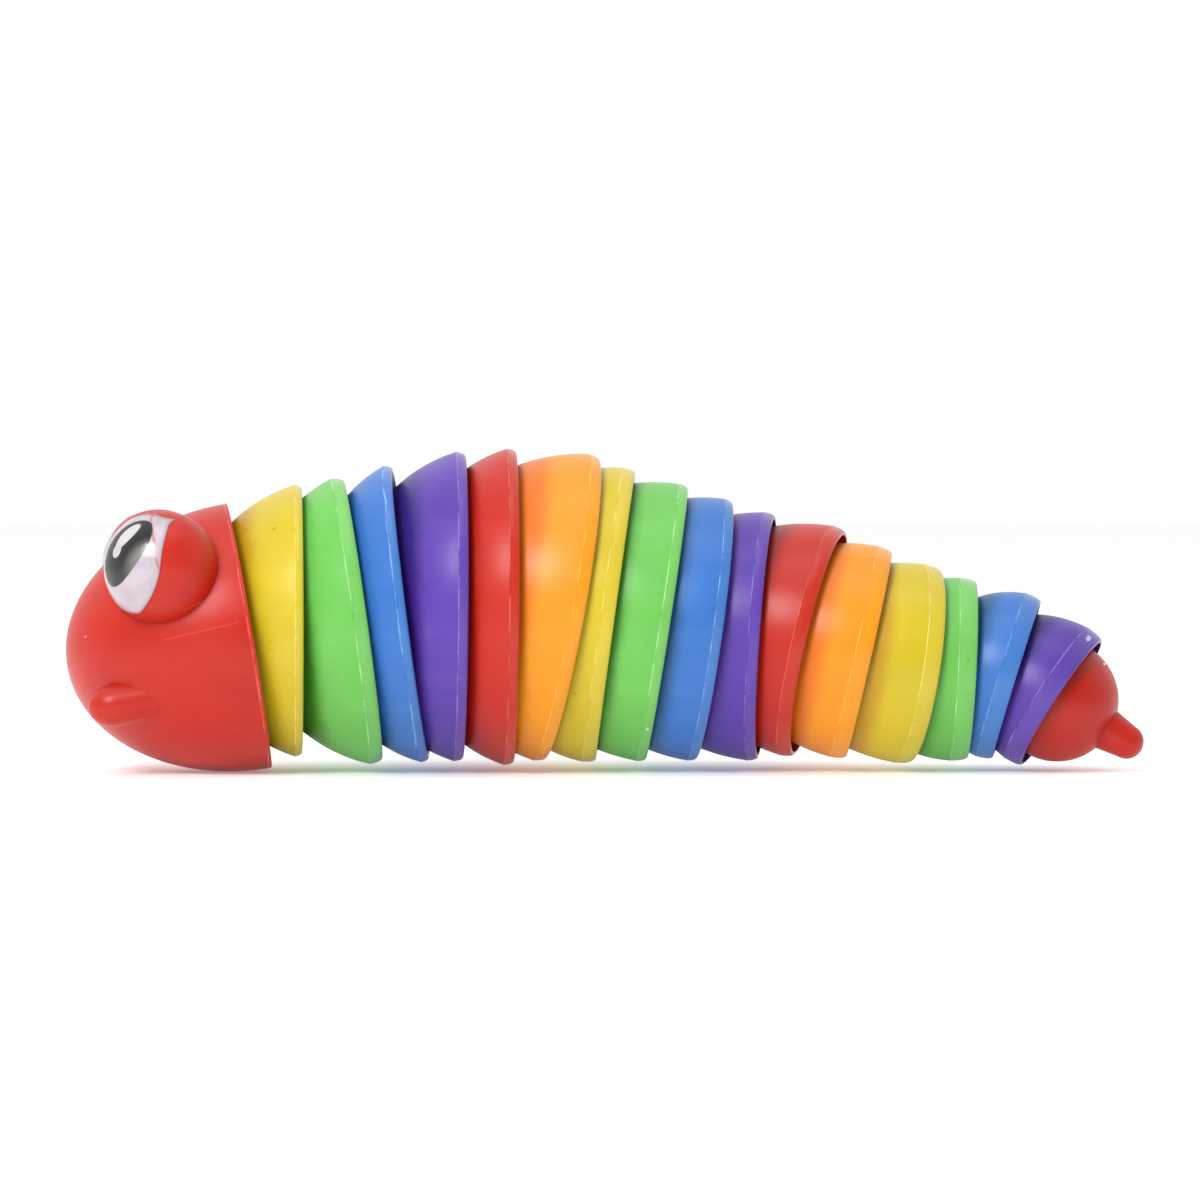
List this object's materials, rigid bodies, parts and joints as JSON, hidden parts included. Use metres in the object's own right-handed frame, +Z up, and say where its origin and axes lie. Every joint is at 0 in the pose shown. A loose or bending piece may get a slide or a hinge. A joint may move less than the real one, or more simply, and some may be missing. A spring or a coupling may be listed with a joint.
{
  "type": "articulated fidget slug",
  "caption": "Articulated plastic slug toy: a rounded head with eye bulges, nested ring shells on universal links, and a tail bulb with a nub.",
  "frame": {"origin": "on the table, under the middle of the toy's bounding box", "axes": "+Z up, head towards -X and tail towards +X, +Y towards the toy's far side"},
  "size_m": [0.1798, 0.0568, 0.0539],
  "materials": {
    "red_plastic": "satin moulded",
    "yellow_plastic": "satin moulded",
    "green_plastic": "satin moulded",
    "blue_plastic": "satin moulded",
    "purple_plastic": "satin moulded",
    "orange_plastic": "satin moulded",
    "link_plastic": "satin moulded",
    "eye_sticker": "semi-gloss vinyl"
  },
  "bodies": {
    "head": {"head_shell": "red_plastic", "eye_sticker_near": "eye_sticker", "eye_sticker_far": "eye_sticker"},
    "link_01": {"cross_link_01": "link_plastic"},
    "ring_01": {"segment_01_yellow": "yellow_plastic"},
    "link_02": {"cross_link_02": "link_plastic"},
    "ring_02": {"segment_02_green": "green_plastic"},
    "link_03": {"cross_link_03": "link_plastic"},
    "ring_03": {"segment_03_blue": "blue_plastic"},
    "link_04": {"cross_link_04": "link_plastic"},
    "ring_04": {"segment_04_purple": "purple_plastic"},
    "link_05": {"cross_link_05": "link_plastic"},
    "ring_05": {"segment_05_red": "red_plastic"},
    "link_06": {"cross_link_06": "link_plastic"},
    "ring_06": {"segment_06_orange": "orange_plastic"},
    "link_07": {"cross_link_07": "link_plastic"},
    "ring_07": {"segment_07_yellow": "yellow_plastic"},
    "link_08": {"cross_link_08": "link_plastic"},
    "ring_08": {"segment_08_green": "green_plastic"},
    "link_09": {"cross_link_09": "link_plastic"},
    "ring_09": {"segment_09_blue": "blue_plastic"},
    "link_10": {"cross_link_10": "link_plastic"},
    "ring_10": {"segment_10_purple": "purple_plastic"},
    "link_11": {"cross_link_11": "link_plastic"},
    "ring_11": {"segment_11_red": "red_plastic"},
    "link_12": {"cross_link_12": "link_plastic"},
    "ring_12": {"segment_12_orange": "orange_plastic"},
    "link_13": {"cross_link_13": "link_plastic"},
    "ring_13": {"segment_13_yellow": "yellow_plastic"},
    "link_14": {"cross_link_14": "link_plastic"},
    "ring_14": {"segment_14_green": "green_plastic"},
    "link_15": {"cross_link_15": "link_plastic"},
    "ring_15": {"segment_15_blue": "blue_plastic"},
    "link_16": {"cross_link_16": "link_plastic"},
    "ring_16": {"segment_16_purple": "purple_plastic"},
    "link_17": {"cross_link_17": "link_plastic"},
    "tail": {"tail_shell": "red_plastic"}
  },
  "joints": [
    {"name": "bend_01", "type": "hinge", "parent": "head", "child": "link_01", "pos_m": [-0.05175, -0.00008, 0.02515], "axis": [-0.1097, 0.994, 0], "range_deg": [-19.5, 0.5]},
    {"name": "swing_01", "type": "hinge", "parent": "link_01", "child": "ring_01", "pos_m": [-0.05175, -0.00008, 0.02515], "axis": [0, 0, 1], "range_deg": [-2.5, 6.5]},
    {"name": "bend_02", "type": "hinge", "parent": "ring_01", "child": "link_02", "pos_m": [-0.04158, 0.00068, 0.02515], "axis": [-0.075, 0.9972, 0], "range_deg": [-2.2, 17.8]},
    {"name": "swing_02", "type": "hinge", "parent": "link_02", "child": "ring_02", "pos_m": [-0.04158, 0.00068, 0.02515], "axis": [-0.1353, -0.0102, 0.9907], "range_deg": [-5, 4]},
    {"name": "bend_03", "type": "hinge", "parent": "ring_02", "child": "link_03", "pos_m": [-0.03309, 0.0014, 0.02632], "axis": [-0.0836, 0.9965, -0.0012], "range_deg": [-10.5, 9.5]},
    {"name": "swing_03", "type": "hinge", "parent": "link_03", "child": "ring_03", "pos_m": [-0.03309, 0.0014, 0.02632], "axis": [-0.1267, -0.0095, 0.9919], "range_deg": [-0.5, 8.5]},
    {"name": "bend_04", "type": "hinge", "parent": "ring_03", "child": "link_04", "pos_m": [-0.02416, 0.00152, 0.02746], "axis": [-0.0144, 0.9999, 0.0077], "range_deg": [-17.8, 2.2]},
    {"name": "swing_04", "type": "hinge", "parent": "link_04", "child": "ring_04", "pos_m": [-0.02416, 0.00152, 0.02746], "axis": [0.0091, -0.0076, 0.9999], "range_deg": [-7, 2]},
    {"name": "bend_05", "type": "hinge", "parent": "ring_04", "child": "link_05", "pos_m": [-0.01568, 0.00201, 0.02739], "axis": [-0.058, 0.9983, 0.0081], "range_deg": [-10, 10]},
    {"name": "swing_05", "type": "hinge", "parent": "link_05", "child": "ring_05", "pos_m": [-0.01568, 0.00201, 0.02739], "axis": [0.0091, -0.0076, 0.9999], "range_deg": [-4, 5]},
    {"name": "bend_06", "type": "hinge", "parent": "ring_05", "child": "link_06", "pos_m": [-0.00719, 0.00243, 0.02731], "axis": [-0.0493, 0.9988, 0.008], "range_deg": [-20.8, 1.2]},
    {"name": "swing_06", "type": "hinge", "parent": "link_06", "child": "ring_06", "pos_m": [-0.00719, 0.00243, 0.02731], "axis": [0.1789, 0.001, 0.9839], "range_deg": [-10.5, 5.5]},
    {"name": "bend_07", "type": "hinge", "parent": "ring_06", "child": "link_07", "pos_m": [-0.00023, 0.00309, 0.02605], "axis": [-0.0921, 0.9956, 0.0158], "range_deg": [-8.5, 13.5]},
    {"name": "swing_07", "type": "hinge", "parent": "link_07", "child": "ring_07", "pos_m": [-0.00023, 0.00309, 0.02605], "axis": [0.136, -0.0031, 0.9907], "range_deg": [-2, 14]},
    {"name": "bend_08", "type": "hinge", "parent": "ring_07", "child": "link_08", "pos_m": [0.00839, 0.003, 0.02486], "axis": [0.0115, 0.9999, 0.0016], "range_deg": [-12, 10]},
    {"name": "swing_08", "type": "hinge", "parent": "link_08", "child": "ring_08", "pos_m": [0.00839, 0.003, 0.02486], "axis": [0.1533, -0.0033, 0.9882], "range_deg": [-9, 7]},
    {"name": "bend_09", "type": "hinge", "parent": "ring_08", "child": "link_09", "pos_m": [0.0158, 0.00304, 0.02371], "axis": [0.0058, -1, -0.0042], "range_deg": [-11.8, 10.2]},
    {"name": "swing_09", "type": "hinge", "parent": "link_09", "child": "ring_09", "pos_m": [0.0158, 0.00304, 0.02371], "axis": [-0.1395, 0.0034, -0.9902], "range_deg": [-6, 10]},
    {"name": "bend_10", "type": "hinge", "parent": "ring_09", "child": "link_10", "pos_m": [0.0246, 0.00341, 0.02247], "axis": [0.0403, -0.9991, -0.0091], "range_deg": [-15.2, 6.8]},
    {"name": "swing_10", "type": "hinge", "parent": "link_10", "child": "ring_10", "pos_m": [0.0246, 0.00341, 0.02247], "axis": [-0.0667, 0.0064, -0.9978], "range_deg": [-15.5, 0.5]},
    {"name": "bend_11", "type": "hinge", "parent": "ring_10", "child": "link_11", "pos_m": [0.03305, 0.00265, 0.0219], "axis": [-0.0901, -0.9959, -0.0004], "range_deg": [-2.2, 19.8]},
    {"name": "swing_11", "type": "hinge", "parent": "link_11", "child": "ring_11", "pos_m": [0.03305, 0.00265, 0.0219], "axis": [-0.2179, 0.0201, -0.9758], "range_deg": [-12.5, 3.5]},
    {"name": "bend_12", "type": "hinge", "parent": "ring_11", "child": "link_12", "pos_m": [0.04084, 0.0013, 0.02014], "axis": [-0.1661, -0.986, 0.0168], "range_deg": [-11, 11]},
    {"name": "swing_12", "type": "hinge", "parent": "link_12", "child": "ring_12", "pos_m": [0.04084, 0.0013, 0.02014], "axis": [-0.2179, 0.0201, -0.9758], "range_deg": [-0.5, 15.5]},
    {"name": "bend_13", "type": "hinge", "parent": "ring_12", "child": "link_13", "pos_m": [0.04962, 0.00098, 0.01817], "axis": [-0.0392, -0.9992, -0.0118], "range_deg": [-14.8, 7.2]},
    {"name": "swing_13", "type": "hinge", "parent": "link_13", "child": "ring_13", "pos_m": [0.04962, 0.00098, 0.01817], "axis": [-0.1528, 0.0177, -0.9881], "range_deg": [-0.5, 15.5]},
    {"name": "bend_14", "type": "hinge", "parent": "ring_13", "child": "link_14", "pos_m": [0.057, 0.00169, 0.01704], "axis": [0.0901, -0.9954, -0.0317], "range_deg": [-17, 5]},
    {"name": "swing_14", "type": "hinge", "parent": "link_14", "child": "ring_14", "pos_m": [0.057, 0.00169, 0.01704], "axis": [-0.0491, 0.0274, -0.9984], "range_deg": [-14.5, 1.5]},
    {"name": "bend_15", "type": "hinge", "parent": "ring_14", "child": "link_15", "pos_m": [0.06429, 0.00153, 0.01668], "axis": [-0.0231, -0.9994, -0.0263], "range_deg": [-3, 31]},
    {"name": "swing_15", "type": "hinge", "parent": "link_15", "child": "ring_15", "pos_m": [0.06429, 0.00153, 0.01668], "axis": [-0.2892, 0.0318, -0.9567], "range_deg": [-11.5, 0.5]},
    {"name": "bend_16", "type": "hinge", "parent": "ring_15", "child": "link_16", "pos_m": [0.07189, 0.00065, 0.01435], "axis": [-0.1147, -0.9934, 0.0016], "range_deg": [-1.5, 32.5]},
    {"name": "swing_16", "type": "hinge", "parent": "link_16", "child": "ring_16", "pos_m": [0.07189, 0.00065, 0.01435], "axis": [-0.5326, 0.0601, -0.8442], "range_deg": [-11.8, 0.2]},
    {"name": "bend_17", "type": "hinge", "parent": "ring_16", "child": "link_17", "pos_m": [0.07666, -0.0005, 0.01126], "axis": [-0.1989, -0.9784, 0.0558], "range_deg": [-12, 8]},
    {"name": "swing_17", "type": "hinge", "parent": "link_17", "child": "tail", "pos_m": [0.07666, -0.0005, 0.01126], "axis": [-0.5036, 0.0532, -0.8623], "range_deg": [-6, 6]}
  ]
}
